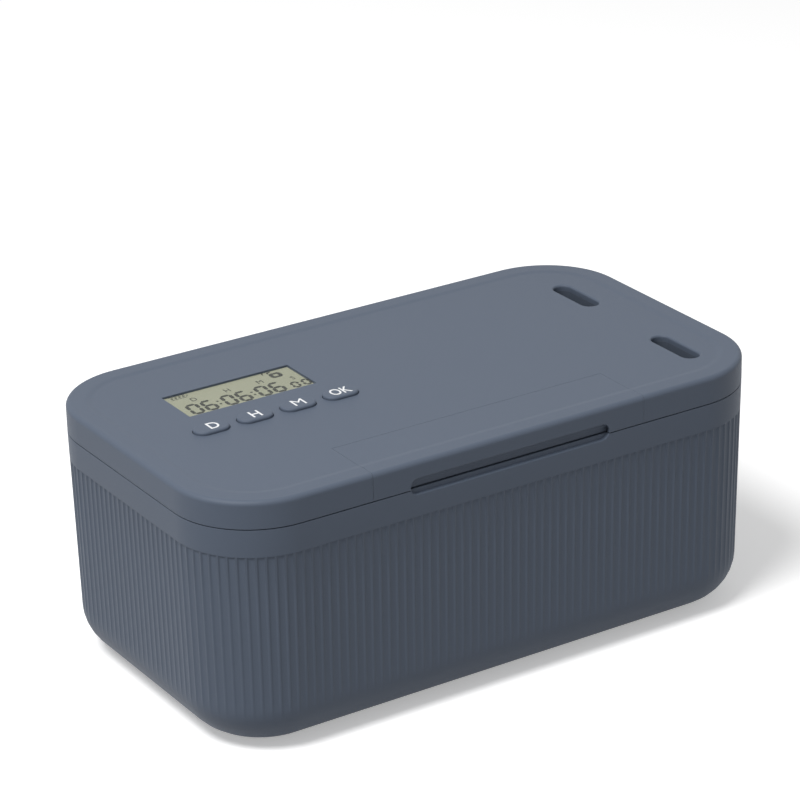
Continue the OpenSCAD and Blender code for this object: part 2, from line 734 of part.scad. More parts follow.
module clamp_screws() in_frame() color(STEEL) for (s = [-1, 1])
  translate([s * clamp_screw_x, clamp_y0 + clamp_d / 2, clamp_foot_z + clamp_t])
    screw_down(small_screw_r, length = 4, head_r = 1.7, head_h = 1.2);

limit_at = [-66, -56];
limit_size = [12.8, 5.8, 6.5];
module limit_switch() in_frame() color(DARK) translate([limit_at.x, limit_at.y, floor_z]) {
  cube(limit_size);
  translate([4, 2.5, limit_size.z]) cube(1);
}

// --- Battery bay in the tray, open downwards, with a door hinged at its left end ---
bay_x0 = -8;
bay_x1 = 42;
bay_y0 = 4;
bay_y1 = 27.5;
bay_wall = 1.4;
bay_top = 90.2;
cell_r = 5.25;
cell_len = 44.5;
CELL_YS = [10, 21.5];
cell_x0 = -4.7;
cell_cz = 84;
nub_h = 1;
nub_r = 1.9;
contact_w = 8;
contact_t = 0.4;
door_t = tray_t;
door_axis_x = bay_x0 + 1;
door_axis_z = tray_z + door_t / 2;
door_pin_r = 0.6;
snap_t = 1;
snap_h = 2.6;
snap_w = 7.5;
thumb_rib = 0.8;

module batteries() in_frame() color(BRASS) for (y = CELL_YS)
  translate([cell_x0, y, cell_cz]) rotate([0, 90, 0]) {
    cylinder(r = cell_r, h = cell_len - nub_h);
    translate([0, 0, cell_len - nub_h]) cylinder(r = nub_r, h = nub_h);
  }

module battery_contacts() in_frame() color(STEEL) for (y = CELL_YS) {
  for (plate = [[bay_x0, contact_t], [cell_x0 + cell_len, bay_x1 - cell_x0 - cell_len]])
    translate([plate[0], y - contact_w / 2, cell_cz - contact_w / 2])
      cube([plate[1], contact_w, contact_w]);
  translate([bay_x0 + contact_t, y, cell_cz]) rotate([0, 90, 0])
    cylinder(r1 = 3.6, r2 = 2, h = cell_x0 - bay_x0 - contact_t);
}

module battery_door() in_frame() color(SLATE) difference() {
  union() {
    translate([door_axis_x, bay_y0 + 0.3, tray_z])
      cube([bay_x1 - 0.3 - door_axis_x, bay_y1 - bay_y0 - 0.6, door_t]);
    translate([door_axis_x, bay_y1 - 0.3, door_axis_z]) rotate([90, 0, 0])
      cylinder(r = door_t / 2, h = bay_y1 - bay_y0 - 0.6);
    translate([door_axis_x, bay_y1 + bay_wall, door_axis_z]) rotate([90, 0, 0])
      cylinder(r = door_pin_r, h = bay_y1 - bay_y0 + 2 * bay_wall);
    // Snap that catches on the bay's wall
    translate([bay_x1 - 0.6 - snap_t, bay_y0 + 8, tray_z + 1]) cube([snap_t, snap_w, snap_h]);
  }
  // Thumb ribs
  for (i = [0 : 3]) translate([bay_x1 - 8 + 2 * thumb_rib * i, bay_y0 + 6, tray_z - 1])
    cube([thumb_rib, bay_y1 - bay_y0 - 12, 1.4]);
}

counterbore = 1.8;
slot_wall = 1.5;
cradle_w = 10;
// Room for the keepers' lips on each side, above and behind
lip_room = 1;

module tray_section() {
  translate([-tray_inset - tray_t, tray_z]) square([tray_t, plate_z - tray_z]);
  translate([-ring_depth, tray_z]) square([ring_depth - tray_inset, tray_t]);
}

module lid_tray() in_frame() color(DARK) difference() {
  union() {
    around() tray_section();
    translate([0, 0, tray_z]) linear_extrude(tray_t) square(lid_plate, center = true);
    for (y = slot_ys) translate([slot_x, y, tray_z]) linear_extrude(plate_z - tray_z)
      stadium(slot_w + 2 * slot_wall, slot_l + 2 * slot_wall);
    translate([bay_x0 - bay_wall, bay_y0 - bay_wall, tray_z])
      cube([bay_x1 - bay_x0 + 2 * bay_wall, bay_y1 - bay_y0 + 2 * bay_wall, bay_top + bay_wall - tray_z]);
    for (p = TRAY_SCREWS) translate([p.x, p.y, tray_z]) cylinder(r = boss_r + 0.8, h = tray_t + 2);
    // Cradle under the gearbox and posts under the clamp
    translate([-cradle_w / 2, gearbox_front + 0.5, tray_z])
      cube([cradle_w, gearbox_d - 1, shaft_z - motor_h / 2 - tray_z]);
    for (s = [-1, 1]) translate([s * clamp_screw_x, clamp_y0 + clamp_d / 2, tray_z])
      cylinder(r = 2.4, h = clamp_foot_z - tray_z);
  }
  for (y = slot_ys) translate([slot_x, y, tray_z - 1]) linear_extrude(plate_z - tray_z + 2)
    stadium(slot_w, slot_l);
  translate([bay_x0, bay_y0, tray_z - 1]) cube([bay_x1 - bay_x0, bay_y1 - bay_y0, bay_top - tray_z + 1]);
  translate([door_axis_x, (bay_y0 + bay_y1) / 2, door_axis_z]) rotate([90, 0, 0])
    cylinder(r = door_pin_r + running, h = bay_y1 - bay_y0 + 2 * bay_wall + 1, center = true);
  // Screw heads sit in counterbores
  for (p = TRAY_SCREWS) translate([p.x, p.y, tray_z - 1]) {
    cylinder(r = tray_screw_r + 0.2, h = 10);
    cylinder(r = 2.8, h = 1 + counterbore);
  }
  // The keepers' lips pass through these notches when the lid comes down
  for (x = [-keeper_x, keeper_x])
    translate([x - lip_w / 2 - lip_room, tray_front - 1, tray_z - 1])
      cube([lip_w + 2 * lip_room, lip_tip + lip_room - tray_front + 1,
        lip_z + lip_t + lip_room - tray_z + 1]);
  for (x = GUIDE_XS) translate([x + guide_w / 2, guide_screw_y, tray_z + 0.4])
    cylinder(r = small_screw_r, h = 5);
  for (s = [-1, 1]) translate([s * clamp_screw_x, clamp_y0 + clamp_d / 2, tray_z + 0.6])
    cylinder(r = small_screw_r, h = 5);
}

module tray_screws() in_frame() color(STEEL) for (p = TRAY_SCREWS)
  translate([p.x, p.y, tray_z + counterbore]) screw(tray_screw_r, length = 10, head_r = 2.6, head_h = 1.4);

// --- Leads: round wire along a few straight runs, with a ball at each turn ---
lead_r = 0.6;
module run(a, b) {
  d = b - a;
  length = norm(d);
  translate(a) rotate([0, acos(d.z / length), atan2(d.y, d.x)])
    cylinder(r = lead_r, h = length, $fn = 24);
}
module lead(points) {
  for (i = [0 : len(points) - 2]) run(points[i], points[i + 1]);
  for (i = [1 : len(points) - 2]) translate(points[i]) sphere(r = lead_r * 1.001, $fn = 24);
}
MOTOR_LEAD = [[0, -23.4, 87.6], [0, -19, 87.6], [-14, -13, 86], [-28, -6, 86], [-28, -6, 90]];
MOTOR_RETURN = [[0, -23.4, 85.6], [0, -19, 85.6], [-14, -13, 84], [-28, -8, 84], [-28, -8, 90]];
BATTERY_LEAD = [[-9.4, 12, 85], [-15, 12, 85], [-20, 20, 86], [-26, 20, 86], [-26, 20, 90]];
module motor_leads() in_frame() color([0.7, 0.1, 0.1]) {
  lead(MOTOR_LEAD);
  lead(MOTOR_RETURN);
}
module battery_leads() in_frame() color([0.1, 0.1, 0.1]) {
  lead(BATTERY_LEAD);
  lead([for (p = BATTERY_LEAD) p + [0, 3, 0]]);
}

tub_shell();
foot_pads();
hinge_pins();
latch_keepers();
keeper_screws();
lid_shell();
lock_panel();
panel_screws();
lid_tray();
tray_screws();
display_window();
display_cell();
display_holder();
display_connector();
control_board();
board_screws();
switch_bases();
processor();
buzzer();
button_d();
button_h();
button_m();
button_ok();
plunger_d();
plunger_h();
plunger_m();
plunger_ok();
motor_gearbox();
motor_can();
motor_clamp();
clamp_screws();
motor_shaft();
lock_pinion();
latch_bar();
latch_guides();
guide_screws();
limit_switch();
batteries();
battery_contacts();
battery_door();
motor_leads();
battery_leads();
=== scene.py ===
# %% [markdown]
# # A timed lock container
# A fluted plastic tub with a hinged lid. The lid holds a countdown display, four keys, two cable
# slots and, under its inner cover, the motor and the latch. The engineering model gives every
# part its true size and place. This script dresses it: it gives each part a finish, and it models
# again, as finer surfaces, the shells and small parts whose looks a plain solid can't give.

# %% Load the engineering model
import json
import math

import bpy
import numpy as np
from mathutils import Matrix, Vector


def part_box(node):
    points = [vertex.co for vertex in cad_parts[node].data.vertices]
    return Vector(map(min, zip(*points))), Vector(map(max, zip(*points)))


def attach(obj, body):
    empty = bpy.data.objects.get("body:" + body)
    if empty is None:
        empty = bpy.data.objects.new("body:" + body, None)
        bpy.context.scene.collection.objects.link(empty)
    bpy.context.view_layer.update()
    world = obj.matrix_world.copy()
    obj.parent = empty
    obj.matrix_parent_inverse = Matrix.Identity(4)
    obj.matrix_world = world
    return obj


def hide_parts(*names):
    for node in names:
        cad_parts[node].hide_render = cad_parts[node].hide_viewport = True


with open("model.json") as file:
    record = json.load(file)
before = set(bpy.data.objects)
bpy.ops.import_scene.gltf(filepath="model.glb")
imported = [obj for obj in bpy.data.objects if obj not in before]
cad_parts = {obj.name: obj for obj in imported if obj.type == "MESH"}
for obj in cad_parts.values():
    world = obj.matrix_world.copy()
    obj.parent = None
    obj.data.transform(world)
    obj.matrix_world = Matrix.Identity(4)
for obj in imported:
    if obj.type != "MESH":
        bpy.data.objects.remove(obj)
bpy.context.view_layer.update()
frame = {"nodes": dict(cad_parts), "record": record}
nodes = frame["nodes"]
MM = 0.001

# %% [markdown]
# ## Camera
# The box was photographed from above its front left corner with a long lens. The camera is
# placed by two angles, a small roll and a distance from a point inside the box, which keeps the
# view easy to adjust. The sensor is shifted a little, because the box sits low in the picture.

# %% Camera
VIEW_TURN, VIEW_RISE, VIEW_ROLL = np.radians([-32.173, 24.2385, -1.3588])
VIEW_DISTANCE = 1.3097
VIEW_TARGET = np.array([0.0197, 0.0361, 0.0504])
LENS = 151.36
LENS_SHIFT = 0.0625


def camera_axes(turn, rise, roll):
    """Columns right, up and back: back points from the box to the camera; right and up are level
    axes turned about back by the roll."""
    back = np.array([math.sin(turn) * math.cos(rise), -math.cos(turn) * math.cos(rise), math.sin(rise)])
    level = np.array([math.cos(turn), math.sin(turn), 0.0])
    upright = np.cross(back, level)
    right = level * math.cos(roll) + upright * math.sin(roll)
    up = upright * math.cos(roll) - level * math.sin(roll)
    return right, up, back


def add_camera():
    data = bpy.data.cameras.new("camera")
    data.lens, data.sensor_width, data.shift_y = LENS, 36.0, LENS_SHIFT
    data.clip_start, data.clip_end = 0.05, 20.0
    camera = bpy.data.objects.new("camera", data)
    bpy.context.collection.objects.link(camera)
    right, up, back = camera_axes(VIEW_TURN, VIEW_RISE, VIEW_ROLL)
    place = np.eye(4)
    place[:3, 0], place[:3, 1], place[:3, 2] = right, up, back
    place[:3, 3] = VIEW_TARGET + back * VIEW_DISTANCE
    camera.matrix_world = Matrix(place.tolist())
    bpy.context.scene.camera = camera
    return camera


camera = add_camera()
print("camera at", [round(c, 3) for c in camera.matrix_world.translation])

# %% [markdown]
# ## Shader arithmetic
# A finish is a small program made of nodes. The class below wraps a node's socket, so that the
# program reads as arithmetic: `skin - 0.5` adds a Math node. `add` makes any other node from its
# type, its settings and what goes into its sockets.

# %% Shader values
class Value:
    """A socket of a material. + - and * on it add Math nodes."""

    def __init__(self, tree, socket=None):
        self.tree, self.socket = tree, socket

    def add(self, kind, settings=None, sockets=None, output=0):
        node = self.tree.nodes.new("ShaderNode" + kind)
        for name, setting in (settings or {}).items():
            setattr(node, name, setting)
        for name, value in (sockets or {}).items():
            if isinstance(value, Value):
                self.tree.links.new(value.socket, node.inputs[name])
            else:
                node.inputs[name].default_value = value
        return Value(self.tree, node.outputs[output])

    def math(self, operation, first, second):
        return self.add("Math", {"operation": operation}, {0: first, 1: second})

    def __add__(self, other):
        return self.math("ADD", self, other)

    def __radd__(self, other):
        return self.math("ADD", other, self)

    def __sub__(self, other):
        return self.math("SUBTRACT", self, other)

    def __rsub__(self, other):
        return self.math("SUBTRACT", other, self)

    def __mul__(self, other):
        return self.math("MULTIPLY", self, other)

    def __rmul__(self, other):
        return self.math("MULTIPLY", other, self)

    def noise(self, scale, detail=3.0, roughness=0.5, place=None):
        """Cloudy values around 0.5; scale counts the clouds in a metre."""
        sockets = {"Scale": scale, "Detail": detail, "Roughness": roughness, "Vector": place or self}
        return self.add("TexNoise", {}, sockets, "Fac")

    def mix(self, first, second):
        """Colour first where this value is 0, second where it is 1."""
        node = self.tree.nodes.new("ShaderNodeMix")
        node.data_type = "RGBA"
        self.tree.links.new(self.socket, node.inputs[0])
        for slot_number, colour in ((6, first), (7, second)):
            if isinstance(colour, Value):
                self.tree.links.new(colour.socket, node.inputs[slot_number])
            else:
                node.inputs[slot_number].default_value = (*colour, 1.0)
        return Value(self.tree, node.outputs[2])


def new_material(name):
    """An empty material with its output node, and a Value that stands for object coordinates."""
    material = bpy.data.materials.new(name)
    material.use_nodes = True
    tree = material.node_tree
    tree.nodes.clear()
    tree.nodes.new("ShaderNodeOutputMaterial")
    place = Value(tree).add("TexCoord", output="Object")
    return material, place


def surface(material, shader):
    output = material.node_tree.nodes["Material Output"]
    material.node_tree.links.new(shader.socket, output.inputs["Surface"])
    return material


def soft_edges(place, radius, gain=1.3):
    """The normal that edges rounded by radius would have, and a mask that is near 1 on edges: how
    far that normal turns away from the true one."""
    rounded = place.add("Bevel", {"samples": 6}, {"Radius": radius})
    true = place.add("NewGeometry", output="Normal")
    turned = place.add("VectorMath", {"operation": "DISTANCE"}, {0: rounded, 1: true}, "Value")
    return rounded, place.add("Clamp", {}, {"Value": turned * gain})


# %% [markdown]
# ## Finishes
# Moulded plastic is never one flat colour. Its tone drifts a little over a hand's width, the
# mould's spark-eroded skin gives it a fine grain, and its edges are smoother and catch a little
# more light. Their colour is also painted a little paler, partly as wear and partly as a painted
# highlight. Each effect is small, and together they read as plastic.

# %% Moulded plastic
def moulded(name, colour, roughness=0.56, grain=2600.0, relief=0.00012, drift=0.06, edge_wear_and_highlight=0.10,
            rounding=0.0003, sheen=0.3):
    """Tone drift from two clouds, grain as bump, and a smoother, rounder edge whose colour is painted
    slightly paler, partly as wear and partly as painted highlight.
    """
    material, place = new_material(name)
    slow = place.noise(9.0, 3.0)
    quick = place.noise(420.0, 2.0)
    skin = place.noise(grain, 4.0, 0.65)
    tone = np.array(colour)
    body = (slow * 0.7 + quick * 0.3).mix(tone * (1 - drift), tone * (1 + drift))
    rounded, edge = soft_edges(place, rounding)
    edge = edge * (0.5 + place.noise(300.0, 3.0))
    # Edges are painted paler: partly wear and partly a painted highlight.
    base = (edge * edge_wear_and_highlight).mix(body, np.minimum(tone * 2.2 + 0.03, 1.0))
    gloss = roughness - 0.08 * edge + 0.10 * (skin - 0.5) + 0.06 * (slow - 0.5)
    bump = place.add("Bump", {}, {"Strength": 0.55, "Distance": relief, "Height": skin,
                                  "Normal": rounded})
    shader = place.add("BsdfPrincipled", {}, {
        "Base Color": base, "Roughness": gloss, "Normal": bump, "Specular IOR Level": sheen})
    return surface(material, shader)


# The ribs are modelled with their own soft edges, so their finish rounds edges less
SLATE = (0.090, 0.113, 0.155)
slate = moulded("slate_plastic", SLATE)
ribbed = moulded("ribbed_plastic", SLATE, rounding=0.00008)
inner = moulded("inner_plastic", (0.070, 0.086, 0.115), roughness=0.62)
dark = moulded("dark_plastic", (0.022, 0.022, 0.025), roughness=0.45, drift=0.12)
nylon = moulded("nylon", (0.72, 0.70, 0.62), roughness=0.42, edge_wear_and_highlight=0.02)
rubber = moulded("rubber_pad", (0.028, 0.028, 0.03), roughness=0.85, grain=1500.0, edge_wear_and_highlight=0.03)
print("plastics:", slate.name, inner.name, dark.name, nylon.name, rubber.name)

# %% [markdown]
# Metal parts are zinc-plated steel and brass. The plating is a little cloudy, and fine brush
# marks run one way along each part.

# %% Metals
def metal(name, colour, roughness=0.32, stretch=(40.0, 900.0, 900.0)):
    """Cloudy tone, and brush marks from a noise that is stretched along X."""
    material, place = new_material(name)
    cloud = place.noise(160.0, 4.0)
    lie = place.add("Mapping", {}, {"Vector": place, "Scale": stretch})
    brush = place.noise(3.0, 3.0, place=lie)
    rounded, edge = soft_edges(place, 0.0002, 1.2)
    tone = np.array(colour)
    # Edges are painted a little paler: a painted highlight.
    base = (cloud * 0.8 + edge * 0.2).mix(tone * 0.82, np.minimum(tone * 1.12, 1.0))
    gloss = roughness + 0.18 * (brush - 0.5) + 0.16 * (cloud - 0.5)
    bump = place.add("Bump", {}, {"Strength": 0.2, "Distance": 0.00003, "Height": brush,
                                  "Normal": rounded})
    shader = place.add("BsdfPrincipled", {}, {
        "Base Color": base, "Metallic": 1.0, "Roughness": gloss, "Normal": bump})
    return surface(material, shader)


steel = metal("steel", (0.60, 0.61, 0.63))
brass = metal("brass", (0.71, 0.53, 0.25), roughness=0.28)
print("metals:", steel.name, brass.name)

# %% [markdown]
# The display is grey-green glass with a faint grain of reflecting foil behind it. The window over
# it is clear acrylic. The circuit board is green lacquer, a little darker where no copper lies
# under it.

# %% Display, window, board and wire
def glass_display(name):
    material, place = new_material(name)
    foil = place.noise(5200.0, 2.0)
    cloud = place.noise(40.0, 2.0)
    base = (foil * 0.5 + cloud * 0.5).mix((0.302, 0.296, 0.200), (0.353, 0.346, 0.235))
    shader = place.add("BsdfPrincipled", {}, {
        "Base Color": base, "Roughness": 0.34 + 0.1 * foil, "Specular IOR Level": 0.3})
    return surface(material, shader)


def clear_plastic(name):
    """Mostly see-through, with the gloss of a hard smooth face and a few fine scuffs."""
    material, place = new_material(name)
    scuffs = place.noise(900.0, 4.0)
    gloss = place.add("BsdfPrincipled", {}, {
        "Base Color": (0.5, 0.52, 0.52, 1.0), "Roughness": 0.05 + 0.1 * scuffs})
    clear = place.add("BsdfTransparent", {}, {"Color": (0.97, 0.98, 0.975, 1.0)})
    mirror = place.add("Fresnel", {}, {"IOR": 1.45}) * 0.14
    return surface(material, place.add("MixShader", {}, {0: mirror, 1: clear, 2: gloss}))


def lacquered_board(name):
    """Copper areas under the lacquer are the flat steps of a coarse cell pattern."""
    material, place = new_material(name)
    pattern = {"Vector": place, "Scale": 260.0}
    cells = place.add("TexVoronoi", {"distance": "CHEBYCHEV"}, pattern, "Distance")
    copper = place.add("Math", {"operation": "LESS_THAN"}, {0: cells, 1: 0.42})
    base = (copper * 0.8 + place.noise(300.0) * 0.2).mix((0.008, 0.075, 0.035), (0.014, 0.145, 0.062))
    bump = place.add("Bump", {}, {"Strength": 0.4, "Distance": 0.00005, "Height": copper})
    shader = place.add("BsdfPrincipled", {}, {
        "Base Color": base, "Roughness": 0.28 + 0.12 * place.noise(900.0), "Normal": bump})
    return surface(material, shader)


lcd = glass_display("lcd")
clear = clear_plastic("clear_window")
board = lacquered_board("circuit_board")
THIN = 0.00001
ink = moulded("display_ink", (0.022, 0.021, 0.013), roughness=0.7, drift=0.2, edge_wear_and_highlight=0.0, rounding=THIN,
              sheen=0.05)
print_white = moulded("print_white", (0.84, 0.85, 0.86), roughness=0.5, drift=0.03, edge_wear_and_highlight=0.0,
                      rounding=THIN)
elastomer = moulded("elastomer", (0.20, 0.20, 0.22), roughness=0.7)
battery_case = moulded("battery_case", (0.05, 0.05, 0.06), roughness=0.25, grain=600.0, edge_wear_and_highlight=0.02)
lead_red = moulded("lead_red", (0.42, 0.018, 0.015), roughness=0.35, edge_wear_and_highlight=0.0)
lead_black = moulded("lead_black", (0.018, 0.018, 0.02), roughness=0.35, edge_wear_and_highlight=0.0)
FINISHES = {"slate_plastic": slate, "inner_plastic": inner, "dark_plastic": dark, "nylon": nylon,
            "rubber_pad": rubber, "steel": steel, "brass": brass, "lcd": lcd, "clear_window": clear,
            "circuit_board": board, "elastomer": elastomer, "battery_case": battery_case,
            "lead_red": lead_red, "lead_black": lead_black}

# %% [markdown]
# The record of the model says which finish each part has, so one loop dresses every part.

# %% Dress the engineering parts
def dress(piece, material):
    piece.data.materials.clear()
    piece.data.materials.append(material)


for part in frame["record"]["subparts"]:
    dress(nodes[part["node"]], FINISHES[part["material_slot"]])

# %% [markdown]
# ## Surfaces from rows
# Most new pieces are lofts: a closed outline is repeated at many places along a path, and
# neighbouring rows are joined by four-sided faces. A flat face closes each end.

# %% Lofts
def add_piece(name, corners, faces, material, body, slot, stands_for=()):
    """A mesh object with its finish, the body that it moves with and the nodes it stands for."""
    mesh = bpy.data.meshes.new(name)
    mesh.from_pydata(np.asarray(corners).tolist(), [], faces)
    piece = bpy.data.objects.new(name, mesh)
    bpy.context.collection.objects.link(piece)
    dress(piece, material)
    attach(piece, body)
    if stands_for:
        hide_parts(*stands_for)
    return piece


def loft_faces(count, points, start=0, closed=False):
    """Faces between count rows of points each. Each quad goes along its row, then to the next one.
    The ends get one flat face each, or, where closed, the last row joins the first."""
    row = np.arange(count if closed else count - 1)[:, None]
    place = np.arange(points)[None, :]
    here, ahead = row * points, (row + 1) % count * points
    after = (place + 1) % points
    quads = np.stack([here + place, here + after, ahead + after, ahead + place], -1)
    faces = (quads.reshape(-1, 4) + start).tolist()
    if not closed:
        faces.append((start + np.arange(points)[::-1]).tolist())
        faces.append((start + (count - 1) * points + np.arange(points)).tolist())
    return faces


def join_lofts(lofts):
    """Corners and faces of several closed lofts, each an array of rows, points and x, y, z."""
    corners, faces, start = [], [], 0
    for rows in lofts:
        corners.append(rows.reshape(-1, 3))
        faces += loft_faces(rows.shape[0], rows.shape[1], start)
        start += rows.shape[0] * rows.shape[1]
    return np.concatenate(corners), faces


def smooth(piece, angle=40.0):
    """Smooth shading, apart from edges where the surface turns by more than the angle."""
    piece.data.shade_smooth()
    piece.data.set_sharp_from_angle(angle=math.radians(angle))


def rounded_row(low, high, radius, z, steps=5):
    """A rectangle with round corners at height z, anticlockwise: each corner is a quarter circle
    about a point that lies the radius inside both sides."""
    middle, half = (np.array(low) + np.array(high)) / 2, (np.array(high) - np.array(low)) / 2
    turn = (np.arange(4)[:, None] + np.linspace(0, 1, steps)[None, :]).ravel() * np.pi / 2
    signs = np.repeat(np.array([[1, 1], [-1, 1], [-1, -1], [1, -1]]), steps, axis=0)
    flat = middle + signs * (half - radius) + radius * np.column_stack([np.cos(turn), np.sin(turn)])
    return np.column_stack([flat, np.full(len(flat), z)])


# %% [markdown]
# ## The tub
# The tub is one moulding, 2.6 mm thick, with 200 soft ribs round it. Its section is carried round
# the outline of the box. A rib is a narrow bulge between shallow flat valleys: each column of the grid
# knows how deep its valley is, and each row says how much of that depth it has, so the ribs can
# end squarely under the band and fade out in the bottom rounding. Distances here are millimetres,
# and `inset` is the distance inside the outline of the seam.

# %% Outline of the box
tray_low, tray_high = (np.array(corner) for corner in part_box("lid_tray"))
lid_low, lid_high = (np.array(corner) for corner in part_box("lid_shell"))
MIDDLE = (tray_low + tray_high)[:2] / 2 / MM
HALF = np.array([lid_high[0] / MM, MIDDLE[1] - lid_low[1] / MM])
CORNER = 32.0
STRAIGHT = HALF - CORNER
QUARTER = STRAIGHT.sum() + CORNER * math.pi / 2
print("outline half sizes:", HALF.round(2), "quarter of the way round:", round(QUARTER, 2), "mm")


def outline(distance):
    """Points and outward normals at distances round the box, anticlockwise from the middle of the
    right side. A quarter is half a short side, a quarter circle and half a long side, and the other
    quarters mirror it."""
    number = np.floor(distance / QUARTER).astype(int) % 4
    along = distance - np.floor(distance / QUARTER) * QUARTER
    along = np.where(number % 2 == 1, QUARTER - along, along)
    turn = np.clip((along - STRAIGHT[1]) / CORNER, 0.0, math.pi / 2)
    normal = np.column_stack([np.cos(turn), np.sin(turn)])
    past = np.maximum(along - STRAIGHT[1] - CORNER * math.pi / 2, 0.0)
    centre = np.column_stack([STRAIGHT[0] - past, np.minimum(along, STRAIGHT[1])])
    signs = np.array([[1, 1], [-1, 1], [-1, -1], [1, -1]])[number]
    return (centre + CORNER * normal) * signs, normal * signs


# %% The tub's grid
RIBS = 200
PITCH = 4 * QUARTER / RIBS
DRAFT = math.tan(math.radians(1.0))
SEAM, TUB_TOP, TONGUE_TOP = 90.0, 89.8, 92.0
UNDERSIDE, WALL = 0.8, 2.6
ROUND_MIDDLE, ROUND_RADIUS = np.array([19.245, 18.8]), 18.0
BAND_LOW = 79.3
# Across one rib: distance from its middle, and the part of the valley's depth that is reached there
ACROSS = np.array([-0.88, -0.70, -0.48, -0.26, 0.0, 0.26, 0.48, 0.70, 0.88, PITCH / 2])
REACHED = np.array([1.0, 0.85, 0.50, 0.15, 0.0, 0.15, 0.50, 0.85, 1.0, 1.0])
VALLEY_LOW, VALLEY_HIGH = 0.26, 0.42
BASE_INSET = 28.0
GROOVE_MIDDLE, GROOVE_RADIUS, GROOVE_HALF, GROOVE_DEPTH = 91.0, 3.2, 39.8, 1.5
HINGES, AXIS_BEHIND, KNUCKLE_ROOM, KNUCKLE_HALF = (-60.0, 60.0), 0.8, 3.15, 5.3
PANEL_HALF, PAD_MIDDLE, PAD_HALF, PAD_INSET, PAD_HIGH, PAD_LOW = 59.5, 30.0, 7.0, 3.35, 83.5, 74.0
GROOVE_END = GROOVE_HALF + math.sqrt(GROOVE_RADIUS**2 - (GROOVE_MIDDLE - TUB_TOP)**2)
TONGUE_INSET, NO_TONGUE_INSET = 1.6, 2.0

columns = ((np.arange(RIBS) * PITCH)[:, None] + ACROSS[None, :]).ravel() % (4 * QUARTER)
columns = np.sort(columns)
valley = np.interp((columns + PITCH / 2) % PITCH - PITCH / 2, np.append(-PITCH / 2, ACROSS),
                   np.append(1.0, REACHED))
edge_points, edge_normals = outline(columns)
across_box = edge_points[:, 0]
at_front, at_back = edge_normals[:, 1] < -0.99, edge_normals[:, 1] > 0.99
in_groove = at_front & (np.abs(across_box) < GROOVE_END)
in_notch = at_back & (np.abs(np.abs(across_box) - HINGES[1]) < KNUCKLE_HALF)
no_tongue = in_notch | (at_front & (np.abs(across_box) < PANEL_HALF))
in_pad = at_front & (np.abs(np.abs(across_box) - PAD_MIDDLE) < PAD_HALF)


def notch_height(inset):
    """Height of the round notch for a lid knuckle: a circle about the hinge's axis."""
    return SEAM - np.sqrt(np.maximum(KNUCKLE_ROOM**2 - (inset + AXIS_BEHIND)**2, 0.04))


def top_edge():
    """Height of the outer top edge: the seam, the groove's lower edge or the notch's edge."""
    past = np.maximum(np.abs(across_box) - GROOVE_HALF, 0.0)
    groove = GROOVE_MIDDLE - np.sqrt(np.maximum(GROOVE_RADIUS**2 - past**2, 0.0))
    edge = np.where(in_groove, np.minimum(groove, TUB_TOP), TUB_TOP)
    return np.where(in_notch, notch_height(0.0), edge)


def tub_row(inset, height, ribbed=0.0):
    """One row: the outline moved inwards by inset plus ribbed parts of the valley's depth."""
    height = np.broadcast_to(np.asarray(height, float), columns.shape)
    risen = (height - ROUND_MIDDLE[1]) / (BAND_LOW - ROUND_MIDDLE[1])
    depth = VALLEY_LOW + (VALLEY_HIGH - VALLEY_LOW) * risen
    flat = edge_points - edge_normals * (inset + ribbed * valley * depth).reshape(-1, 1)
    return np.column_stack([flat + MIDDLE, height]) * MM


def rounding(radius, degrees, ribbed):
    """Rows round the bottom: a quarter circle from straight down (0) to straight out (90)."""
    turn = math.radians(degrees)
    inset, height = ROUND_MIDDLE - radius * np.array([math.sin(turn), math.cos(turn)])
    return tub_row(inset, height, ribbed)


